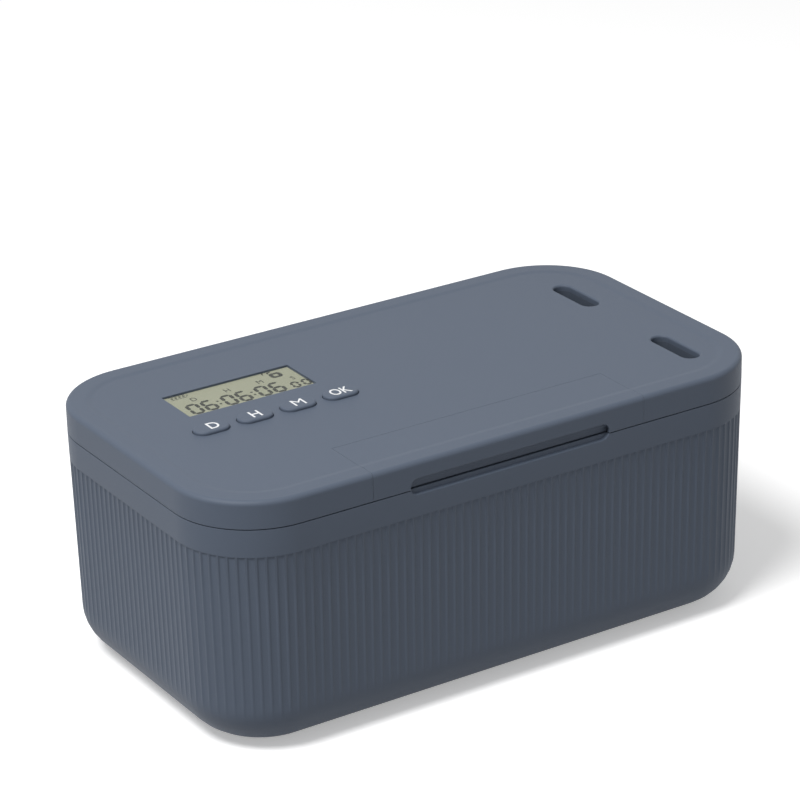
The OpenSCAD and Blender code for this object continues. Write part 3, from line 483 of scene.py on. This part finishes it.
def tub_rows():
    """From the middle of the underside out and up the wall, over the edge and down the inside."""
    rows = [tub_row(BASE_INSET, UNDERSIDE)]
    rows += [rounding(ROUND_RADIUS, degrees, 0.0) for degrees in range(0, 81, 10)]
    rows.append(rounding(ROUND_RADIUS, 89, 0.6))
    rows += [tub_row((SEAM - z) * DRAFT, z, 1.0) for z in (21.5, 40.0, 60.0, BAND_LOW - 0.25)]
    rows += [tub_row((SEAM - z) * DRAFT, z) for z in (BAND_LOW, BAND_LOW + 0.25)]
    edge = top_edge()
    draft = (SEAM - edge) * DRAFT
    rows += [tub_row(draft + 0.01, edge - 0.5), tub_row(draft + 0.03, edge - 0.14)]
    # Over the edge: into the groove, round the notch, or along the flat top
    steps = ((0.14, 0.0, 0.04), (0.45, 0.05, 0.15), (GROOVE_DEPTH - 0.03, 0.10, 0.4))
    for groove_in, groove_up, flat_in in steps:
        inset = np.where(in_groove, np.maximum(groove_in, draft + 0.08), draft + flat_in)
        height = np.where(in_notch, notch_height(inset), np.minimum(edge + groove_up, TUB_TOP))
        rows.append(tub_row(inset, height))
    inset = np.where(in_groove, GROOVE_DEPTH, 0.7)
    rows.append(tub_row(inset, np.where(in_notch, notch_height(inset), TUB_TOP)))
    # The tongue stands up inside the lid, but not behind the panel or under a knuckle
    rows.append(tub_row(TONGUE_INSET, np.where(in_notch, notch_height(TONGUE_INSET), TUB_TOP)))
    tongue = np.where(no_tongue, TUB_TOP, TONGUE_TOP)
    inset = np.where(no_tongue, NO_TONGUE_INSET, TONGUE_INSET)
    rows.append(tub_row(inset, np.where(in_notch, notch_height(NO_TONGUE_INSET), tongue)))
    rows.append(tub_row(WALL, tongue))
    # Down the inner wall, with the pads that carry the keepers
    for height, padded in ((88.0, False), (PAD_HIGH + 0.05, False), (PAD_HIGH, True), (PAD_LOW, True),
                           (PAD_LOW - 0.05, False), (46.0, False)):
        inset = WALL + (SEAM - height) * DRAFT
        rows.append(tub_row(np.where(in_pad & padded, PAD_INSET, inset), height))
    rows += [rounding(ROUND_RADIUS - WALL, degrees, 0.0) for degrees in (89, 75, 60, 45, 30, 15, 0)]
    rows.append(tub_row(BASE_INSET, UNDERSIDE + WALL))
    return np.stack(rows)


tub_skin = add_piece("tub_ribbed", *join_lofts([tub_rows()]), ribbed, "tub", "slate_plastic", ["tub_shell"])
smooth(tub_skin)
print("ribbed tub faces:", len(tub_skin.data.polygons))

# %% [markdown]
# The tub's knuckles are barrels on short webs. The outline of one is an arc round the hinge's axis
# and two corners where the web meets the wall. A bore runs through it for the hinge pin.

# %% Tub knuckles
KNUCKLE_RADIUS, KNUCKLE_LENGTH, KNUCKLE_STEP, BORE = 2.8, 9.7, 10.15, 1.25
axis = np.array([MIDDLE[1] + HALF[1] + AXIS_BEHIND, SEAM])
arc = np.radians(np.linspace(-20.0, 224.4, 34))
barrel = KNUCKLE_RADIUS * np.column_stack([np.cos(arc), np.sin(arc)])
barrel = np.concatenate([barrel, [[-2.0, -7.0], [-0.7, -7.0]]])
bore_turn = np.append(arc, np.radians([255.0, 290.0]))
bore = BORE * np.column_stack([np.cos(bore_turn), np.sin(bore_turn)])


def tube_rows(outer, inner, x0, x1):
    """Outer surface from x0 to x1, then back through the bore."""
    return np.stack([np.column_stack([np.full(len(ring), x), ring + axis]) * MM
                     for ring, x in ((outer, x0), (outer, x1), (inner, x1), (inner, x0))])


knuckle_corners, knuckle_faces = [], []
for hinge in HINGES:
    for side in (-1, 1):
        x = hinge + side * KNUCKLE_STEP
        rows = tube_rows(barrel, bore, x - KNUCKLE_LENGTH / 2, x + KNUCKLE_LENGTH / 2)
        knuckle_faces += loft_faces(4, len(barrel), 4 * len(barrel) * len(knuckle_corners), closed=True)
        knuckle_corners.append(rows.reshape(-1, 3))
knuckles = add_piece("tub_knuckles", np.concatenate(knuckle_corners), knuckle_faces, slate,
                     "tub", "slate_plastic")
smooth(knuckles)
print("tub knuckle faces:", len(knuckles.data.polygons))

# %% [markdown]
# ## The display
# The window is a clear moulded cap. Its flange lies under the lid and its raised middle fills the
# opening, a little below the surface. The liquid crystal cell reaches up into the cap, so the
# figures seem to lie just under the surface, as they do in the photograph. The real opening has a
# wide lip at the front, which covers a strip of the cell.

# %% Window, cell and front lip
window_low, window_high = (np.array(corner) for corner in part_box("display_window"))
cell_low, cell_high = (np.array(corner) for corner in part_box("display_cell"))
display_middle = (window_low + window_high)[:2] / 2
OPENING = np.array([26.95, 11.15]) * MM
FIELD = window_high[2] + 1.4 * MM
LIP = 1.35 * MM
WINDOW_WALL = 0.3 * MM
window_top = FIELD - 0.3 * MM
cell_top = window_top - 0.38 * MM


def opening_row(inset, radius, z):
    low, high = display_middle - OPENING + inset, display_middle + OPENING - inset
    return rounded_row(low + np.array([0, LIP]), high, radius, z)


def flange_row(inset, z):
    return rounded_row(window_low[:2] + inset, window_high[:2] - inset, 0.6 * MM, z)


def window_rows():
    """From the ceiling of the cap down its inner wall, out under the flange and up to the top."""
    inner, outer, soft = WINDOW_WALL + 0.1 * MM, 0.1 * MM, 0.1 * MM
    return np.stack([
        opening_row(inner, 0.3 * MM, window_top - WINDOW_WALL), opening_row(inner, 0.3 * MM, window_low[2]),
        flange_row(0.0, window_low[2]), flange_row(0.0, window_high[2] - 0.1 * MM),
        flange_row(0.1 * MM, window_high[2]), opening_row(outer, 0.5 * MM, window_high[2]),
        opening_row(outer, 0.5 * MM, window_top - soft), opening_row(outer + soft, 0.4 * MM, window_top)])


def cell_rows():
    """The lower glass, the upper glass and the polariser, one step in at each."""
    ledge, glass = 1.6 * MM, 1.3 * MM
    levels = cell_low[2] + np.array([0.0, glass, glass, 2 * glass])
    lower = [rounded_row(cell_low[:2], cell_high[:2], 0.1 * MM, z) for z in levels[:2]]
    upper_low = cell_low[:2] + np.array([0, ledge])
    upper = [rounded_row(upper_low, cell_high[:2], 0.1 * MM, z) for z in levels[2:]]
    raised = [opening_row(WINDOW_WALL + 0.15 * MM, 0.1 * MM, z) for z in (levels[3], cell_top)]
    return np.stack(lower + upper + raised)


def along_x(name, profile, x0, x1, material, body, slot):
    """A prism along X. The profile lists y, z anticlockwise as seen from the right."""
    ends = [np.column_stack([np.full(len(profile), x), profile]) for x in (x0, x1)]
    return add_piece(name, *join_lofts([np.stack(ends)]), material, body, slot)


window_piece = add_piece("window_cap", *join_lofts([window_rows()]), clear, "lid", "clear_window",
                         ["display_window"])
cell_piece = add_piece("display_glass", *join_lofts([cell_rows()]), lcd, "lid", "lcd", ["display_cell"])
front = display_middle[1] - OPENING[1]
lip_turn = np.linspace(0, np.pi / 2, 5)
lip_edge = np.column_stack([np.cos(lip_turn), np.sin(lip_turn)]) * 0.25 * MM
lip_profile = np.concatenate([
    [[front, window_high[2]], [front + LIP, window_high[2]]],
    lip_edge + np.array([front + LIP - 0.25 * MM, FIELD - 0.25 * MM]), [[front, FIELD]]])
lip = along_x("display_lip", lip_profile, display_middle[0] - OPENING[0], display_middle[0] + OPENING[0],
              slate, "lid", "slate_plastic")
print("window, cell and lip:", [len(p.data.polygons) for p in (window_piece, cell_piece, lip)])

# %% [markdown]
# A liquid crystal display shows each digit with seven bars, and each bar is a hexagon with pointed
# ends, so that neighbours meet in a thin mitre. The bars lean a little to the right. They are thin
# prisms on the cell, because real segments are a thin dark layer with an edge.

# %% Bars
def prisms(outlines, low, high):
    """Upright prisms between two heights, one for each convex outline, given anticlockwise."""
    return [np.stack([np.column_stack([outline, np.full(len(outline), z)]) for z in (low, high)])
            for outline in outlines]


def bar(start, end, width):
    """A hexagon along start-end: a rectangle whose two ends are drawn out to points."""
    start, end = np.array(start, float), np.array(end, float)
    along = (end - start) / np.linalg.norm(end - start)
    across = np.array([-along[1], along[0]])
    sides = np.array([[0, 0], [1, -1], [-1, -1], [0, 0], [-1, 1], [1, 1]])
    ends = np.array([start, start, end, end, end, start])
    return ends + width / 2 * (sides[:, :1] * along + sides[:, 1:] * across)


def round_dot(x, y, radius, points=16):
    turn = np.arange(points) * 2 * np.pi / points
    return np.column_stack([x + radius * np.cos(turn), y + radius * np.sin(turn)])


# The seven bars of a digit, as corners (column, row) of two stacked squares, and the lit ones
BARS = {"a": ((0, 2), (1, 2)), "b": ((1, 2), (1, 1)), "c": ((1, 1), (1, 0)), "d": ((0, 0), (1, 0)),
        "e": ((0, 1), (0, 0)), "f": ((0, 2), (0, 1)), "g": ((0, 1), (1, 1))}
LIT = {"0": "abcdef", "6": "acdefg"}
LEAN = math.tan(math.radians(3.0))


def digit(figure, x, y, width, height, stroke):
    """The lit bars of a figure whose lower left corner is at x, y, shortened to leave a mitre."""
    cell = np.array([width - stroke, (height - stroke) / 2])
    shapes = []
    for name in LIT[figure]:
        start, end = (np.array(corner) * cell for corner in BARS[name])
        gap = 0.10 * stroke * (end - start) / np.linalg.norm(end - start)
        shape = bar(start + gap, end - gap, stroke) + stroke / 2
        shapes.append(np.column_stack([x + shape[:, 0] + LEAN * shape[:, 1], y + shape[:, 1]]))
    return shapes


# %% [markdown]
# The clock shows days, hours and minutes in pairs of large figures, and seconds in smaller ones.
# Places are in millimetres from the middle of the window.

# %% Figures
INK_THICKNESS = 0.05 * MM
FIGURE_ROWS = [("06", -24.0, -8.5, 5.2, 9.6, 1.35, 6.1), ("06", -9.5, -8.5, 5.2, 9.6, 1.35, 6.1),
               ("06", 4.8, -8.5, 5.2, 9.6, 1.35, 6.1), ("00", 18.7, -8.3, 3.5, 5.6, 1.05, 4.6)]
LABELS = [("D", -17.2, 4.4), ("H", -3.0, 4.5), ("M", 10.9, 4.3), ("S", 22.9, 0.6)]


def display_marks():
    shapes = []
    for figures, x, y, width, height, stroke, step in FIGURE_ROWS:
        for i, figure in enumerate(figures):
            shapes += digit(figure, x + i * step, y, width, height, stroke)
    shapes += [round_dot(x, y, 0.5) for x in (-11.0, 3.5) for y in (-4.9, -2.3)]
    # Battery: four bars in a thin case with a cap
    shapes += [bar((x, 8.6), (x, 10.0), 1.0) for x in (-23.6, -22.0, -20.4, -18.8)]
    shapes += [bar((-24.6, y), (-17.8, y), 0.3) for y in (7.9, 10.6)]
    shapes += [bar((-17.3, 8.8), (-17.3, 9.7), 0.8)]
    # Open padlock: a body round a keyhole, and a shackle that is free at one end, then a small tick
    shapes += [bar((16.9, y), (21.3, y), 1.3) for y in (4.9, 8.0)]
    shapes += [bar((x, 4.6), (x, 8.3), 1.5) for x in (17.4, 20.8)]
    shapes += [bar((17.1, 8.6), (17.3, 10.2), 0.7), bar((17.3, 10.1), (18.8, 10.1), 0.6)]
    shapes += [bar((15.0, 9.0), (15.3, 10.7), 0.6), bar((15.3, 10.7), (16.0, 10.7), 0.4)]
    return [shape * MM + display_middle for shape in shapes]


def lettering(name, words, size, thickness, height, material, body, slot, narrow=1.0, bold=0.0):
    """Flat text made into one mesh. words lists (text, x, y) in metres, and each text is centred
    there by its own outline. narrow scales its width, and bold widens its strokes."""
    corners, faces, start = [], [], 0
    for word, x, y in words:
        curve = bpy.data.curves.new(name, "FONT")
        curve.body, curve.size, curve.extrude, curve.offset = word, size, thickness / 2, bold
        curve.resolution_u = 4
        source = bpy.data.objects.new(name + "_text", curve)
        bpy.context.collection.objects.link(source)
        mesh = source.to_mesh(depsgraph=bpy.context.evaluated_depsgraph_get())
        found = np.empty(len(mesh.vertices) * 3)
        mesh.vertices.foreach_get("co", found)
        found = found.reshape(-1, 3)
        found = (found - (found.min(0) + found.max(0)) / 2) * np.array([narrow, 1.0, 1.0])
        corners.append(found + np.array([x, y, height + thickness / 2]))
        faces += [[v + start for v in face.vertices] for face in mesh.polygons]
        start += len(found)
        source.to_mesh_clear()
        bpy.data.objects.remove(source)
    return add_piece(name, np.concatenate(corners), faces, material, body, slot)


mark_prisms = prisms(display_marks(), cell_top, cell_top + INK_THICKNESS)
figures = add_piece("display_figures", *join_lofts(mark_prisms), ink, "lid", "lcd")
LABEL_SIZE = 4.3 * MM
labels = lettering("display_labels", [(word, x * MM + display_middle[0], y * MM + display_middle[1])
                                      for word, x, y in LABELS],
                   LABEL_SIZE, INK_THICKNESS, cell_top, ink, "lid", "lcd", narrow=0.85)
print("display bars:", len(figures.data.polygons), "label faces:", len(labels.data.polygons))

# %% [markdown]
# The letters on the keys are printed, so they are flat text made into a mesh. The print is
# narrower and bolder than the font. The M stays as the font has it.

# %% Letters on the keys
# Text, width and how far right of the key's middle it is printed
KEY_WORDS = {"d": ("D", 0.88, 1.1), "h": ("H", 0.88, 0.4), "m": ("M", 1.0, 0.4), "ok": ("OK", 0.75, 0.1)}
LETTER_SIZE = 7.5 * MM
LETTER_RISE = 0.5 * MM
PRINT_THICKNESS = 0.02 * MM
for key, (word, narrow, right) in KEY_WORDS.items():
    low, high = (np.array(corner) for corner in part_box("button_" + key))
    x, y = (low + high)[:2] / 2 + np.array([right * MM, LETTER_RISE])
    lettering("letter_" + key, [(word, x, y)], LETTER_SIZE, PRINT_THICKNESS, high[2], print_white,
              "key_" + key, "slate_plastic", narrow, bold=0.0 if word == "M" else 0.08 * MM)
print("key letters:", ", ".join(word for word, narrow, right in KEY_WORDS.values()))

# %% [markdown]
# ## Cells, springs and feet
# Behind the small door in the lid's underside lie two cells. A cell is turned: a sleeve whose ends
# are rolled in over steel caps. Each cell is held by a conical spring, wound from wire on a helix
# whose radius shrinks towards the cell. The feet are turned too, with a soft edge at the table.

# %% Turned and wound shapes
def turned(profile, centre, direction, sides=40):
    """Rows of circles: profile lists distance along the axis and radius; direction is 0 for an axis
    along X and 2 for one along Z, and centre is a point on the axis at distance 0."""
    turn = np.arange(sides) * 2 * np.pi / sides
    along, radius = np.array(profile, float).T
    ring = np.stack([np.cos(turn), np.sin(turn)], -1)
    rows = np.zeros((len(along), sides, 3))
    others = [(direction + 1) % 3, (direction + 2) % 3]
    rows[:, :, others] = radius[:, None, None] * ring[None]
    rows[:, :, direction] = along[:, None]
    return (rows + np.array(centre)) * MM


def coil(centre, x0, x1, radius0, radius1, turns, wire, steps=28, sides=8):
    """Wire on a helix about an axis along X: at each step the ring of the wire spans the direction
    away from the axis and the one square to it and to the wire."""
    part = np.linspace(0, 1, int(turns * steps) + 1)
    turn, radius = part * turns * 2 * np.pi, radius0 + (radius1 - radius0) * part
    zero = np.zeros_like(turn)
    away = np.column_stack([zero, np.cos(turn), np.sin(turn)])
    path = np.array(centre) + radius[:, None] * away + np.column_stack([x0 + (x1 - x0) * part, zero, zero])
    tangent = np.gradient(path, axis=0)
    tangent /= np.linalg.norm(tangent, axis=1)[:, None]
    square = np.cross(tangent, away)
    ring = np.arange(sides) * 2 * np.pi / sides
    return (path[:, None] + wire * (np.cos(ring)[None, :, None] * away[:, None]
                                    + np.sin(ring)[None, :, None] * square[:, None])) * MM


# %% Cells and springs
cells_low, cells_high = (np.array(corner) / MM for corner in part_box("batteries"))
bay_low, bay_high = (np.array(corner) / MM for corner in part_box("battery_contacts"))
CELL_RADIUS = (cells_high[2] - cells_low[2]) / 2
cell_axes = [(0.0, y, (cells_low[2] + cells_high[2]) / 2)
             for y in (cells_low[1] + CELL_RADIUS, cells_high[1] - CELL_RADIUS)]
x0, x1 = cells_low[0], cells_high[0]
# Profiles: distance along the cell and radius
sleeve = [(x0 + 0.25, 4.3), (x0 + 0.1, 4.7), (x0 + 0.25, 5.1), (x0 + 0.7, CELL_RADIUS),
          (x1 - 1.8, CELL_RADIUS), (x1 - 1.35, 5.1), (x1 - 1.2, 4.7), (x1 - 1.35, 4.3)]
flat_cap = [(x0, 4.0), (x0 + 0.3, 4.4)]
button_cap = [(x1 - 1.4, 4.4), (x1 - 1.2, 4.2), (x1 - 1.15, 2.1), (x1 - 0.95, 1.9), (x1 - 0.2, 1.85),
              (x1, 1.6)]
caps = [flat_cap, button_cap]
PLATE, PLATE_HALF = 0.4, 4.0
SPRING_WIRE, SPRING_WIDE, SPRING_NARROW, SPRING_TURNS = 0.3, 3.4, 1.9, 3.5
sleeve_rows = [turned(sleeve, axis_point, 0) for axis_point in cell_axes]
cap_rows = [turned(cap, axis_point, 0) for axis_point in cell_axes for cap in caps]
sleeves = add_piece("cell_sleeves", *join_lofts(sleeve_rows), battery_case, "lid", "battery_case",
                    ["batteries"])
cell_caps = add_piece("cell_caps", *join_lofts(cap_rows), steel, "lid", "steel")


def plate_rows(x_low, x_high, y, z):
    """A contact plate with rounded corners, standing across X."""
    flat = rounded_row((-PLATE_HALF, -PLATE_HALF), (PLATE_HALF, PLATE_HALF), 0.8, 0.0)[:, :2]
    flat = flat + np.array([y, z])
    return np.stack([np.column_stack([np.full(len(flat), x), flat]) for x in (x_low, x_high)]) * MM


springs = []
for axis_point in cell_axes:
    y, z = axis_point[1:]
    springs += [plate_rows(bay_low[0], bay_low[0] + PLATE, y, z), plate_rows(x1, bay_high[0], y, z)]
    start, end = bay_low[0] + PLATE + SPRING_WIRE, x0 - SPRING_WIRE
    springs.append(coil(axis_point, start, end, SPRING_WIDE, SPRING_NARROW, SPRING_TURNS, SPRING_WIRE))
contacts = add_piece("cell_springs", *join_lofts(springs), steel, "lid", "steel", ["battery_contacts"])
for piece in (sleeves, cell_caps, contacts):
    smooth(piece)
print("cells at y =", [round(y, 1) for x, y, z in cell_axes], "radius", round(CELL_RADIUS, 2))

# %% Feet
feet_low, feet_high = (np.array(corner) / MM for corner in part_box("foot_pads"))
FOOT_RADIUS = 6.0
foot_profile = [(0.0, 4.6), (0.08, 5.0), (0.3, 5.5), (0.6, 5.85), (0.9, FOOT_RADIUS),
                (feet_high[2], FOOT_RADIUS)]
foot_places = [(x, y, 0.0) for x in (feet_low[0] + FOOT_RADIUS, feet_high[0] - FOOT_RADIUS)
               for y in (feet_low[1] + FOOT_RADIUS, feet_high[1] - FOOT_RADIUS)]
feet = add_piece("feet", *join_lofts([turned(foot_profile, place, 2) for place in foot_places]), rubber,
                 "tub", "rubber_pad", ["foot_pads"])
smooth(feet)
print("feet:", len(foot_places))

# %% [markdown]
# ## Floor and light
# The box stands on a white sweep. The floor is white to the camera and to anything that mirrors
# it, and greyer for the light that it sends back up, because the photograph's front face is much
# darker than its top. The light comes from the left, from one large soft lamp.

# %% Floor
FLOOR_SEEN = 0.95
FLOOR_LIFT = 0.36
FLOOR_RETURN = 0.26
WHITE = (1, 1, 1, 1)


def seen_rays(value):
    """1 for rays from the camera and for those that mirrored or clear things send on."""
    rays = [value.add("LightPath", output=kind) for kind in
            ("Is Camera Ray", "Is Glossy Ray", "Is Transmission Ray")]
    return value.add("Clamp", {}, {"Value": rays[0] + rays[1] + rays[2]})


def add_floor(size=6.0):
    mesh = bpy.data.meshes.new("floor")
    half = size / 2
    corners = [(-half, -half, 0), (half, -half, 0), (half, half, 0), (-half, half, 0)]
    mesh.from_pydata(corners, [], [(0, 1, 2, 3)])
    floor = bpy.data.objects.new("floor", mesh)
    bpy.context.collection.objects.link(floor)
    material, place = new_material("floor_white")
    seen = seen_rays(place)
    shadowed = place.add("BsdfDiffuse", {}, {"Color": (FLOOR_SEEN,) * 3 + (1.0,)})
    lift = place.add("Emission", {}, {"Color": WHITE, "Strength": FLOOR_LIFT})
    bright = place.add("AddShader", {}, {0: shadowed, 1: lift})
    dim = place.add("BsdfDiffuse", {}, {"Color": (FLOOR_RETURN,) * 3 + (1.0,)})
    dress(floor, surface(material, place.add("MixShader", {}, {0: seen, 1: dim, 2: bright})))


add_floor()

# %% Light
SKY_LEVEL = 0.33
LAMP_PLACE = np.array([-0.82, -0.27, 1.52])
LAMP_SIZE = 0.7
LAMP_POWER = 24.8


def add_world():
    world = bpy.data.worlds.new("studio")
    bpy.context.scene.world = world
    world.use_nodes = True
    tree = world.node_tree
    tree.nodes.clear()
    output = tree.nodes.new("ShaderNodeOutputWorld")
    start = Value(tree)
    seen = seen_rays(start)
    white = start.add("Background", {}, {"Color": WHITE, "Strength": 1.0})
    soft = start.add("Background", {}, {"Color": WHITE, "Strength": SKY_LEVEL})
    both = start.add("MixShader", {}, {0: seen, 1: soft, 2: white})
    tree.links.new(both.socket, output.inputs["Surface"])


def add_lamp(name, place, size, power, target=(0.0, 0.0, 0.05)):
    data = bpy.data.lights.new(name, "AREA")
    data.shape, data.size, data.energy = "DISK", size, power
    lamp = bpy.data.objects.new(name, data)
    bpy.context.collection.objects.link(lamp)
    back = place - np.array(target)
    back = back / np.linalg.norm(back)
    side = np.cross([0.0, 0.0, 1.0], back)
    side = side / np.linalg.norm(side)
    turn = np.eye(4)
    turn[:3, 0], turn[:3, 1], turn[:3, 2], turn[:3, 3] = side, np.cross(back, side), back, place
    lamp.matrix_world = Matrix(turn.tolist())


add_world()
add_lamp("key_lamp", LAMP_PLACE, LAMP_SIZE, LAMP_POWER)
scene = bpy.context.scene
scene.view_settings.view_transform = "Standard"
print("sky", SKY_LEVEL, "lamp", LAMP_POWER, "W at", LAMP_PLACE)
